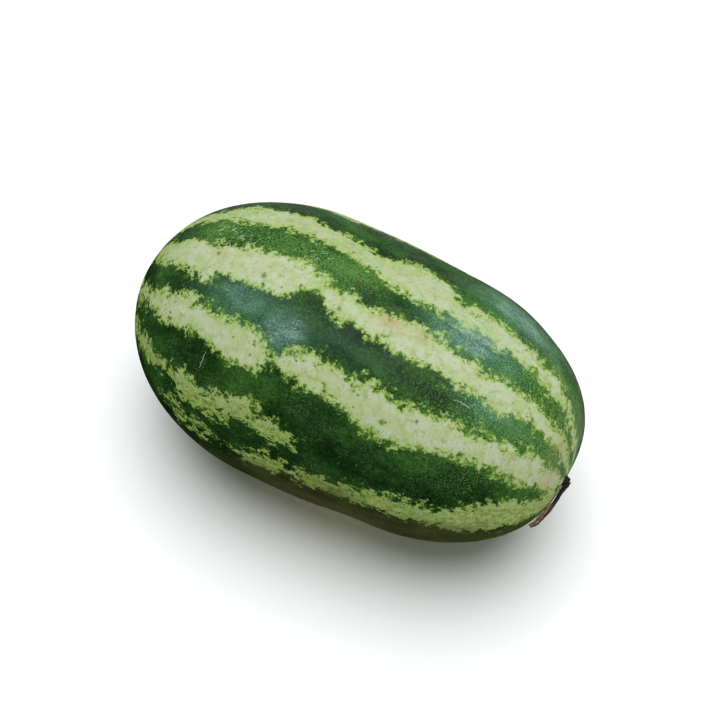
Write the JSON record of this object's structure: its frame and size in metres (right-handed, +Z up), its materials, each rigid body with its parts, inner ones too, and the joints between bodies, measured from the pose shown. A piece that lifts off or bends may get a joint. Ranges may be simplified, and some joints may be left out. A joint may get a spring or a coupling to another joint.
{
  "type": "watermelon",
  "caption": "Whole oblong watermelon with dark and pale green stripes, lying on its side on a small flat spot, with its short dried stem.",
  "frame": {"origin": "on the surface that the fruit lies on, at the flat spot of its underside, below the middle of its length", "axes": "+X along the fruit's long axis towards the stem end, +Z up, +Y across the fruit, away from the side that the stem curls to"},
  "size_m": [0.4046, 0.236, 0.2345],
  "materials": {
    "rind": "waxy satin skin, dark green with jagged pale green stripes from end to end",
    "stem": "dry ribbed stalk, dark brown with a paler brown inner side"
  },
  "bodies": {
    "root": {"fruit": "rind", "stem": "stem"}
  },
  "joints": []
}
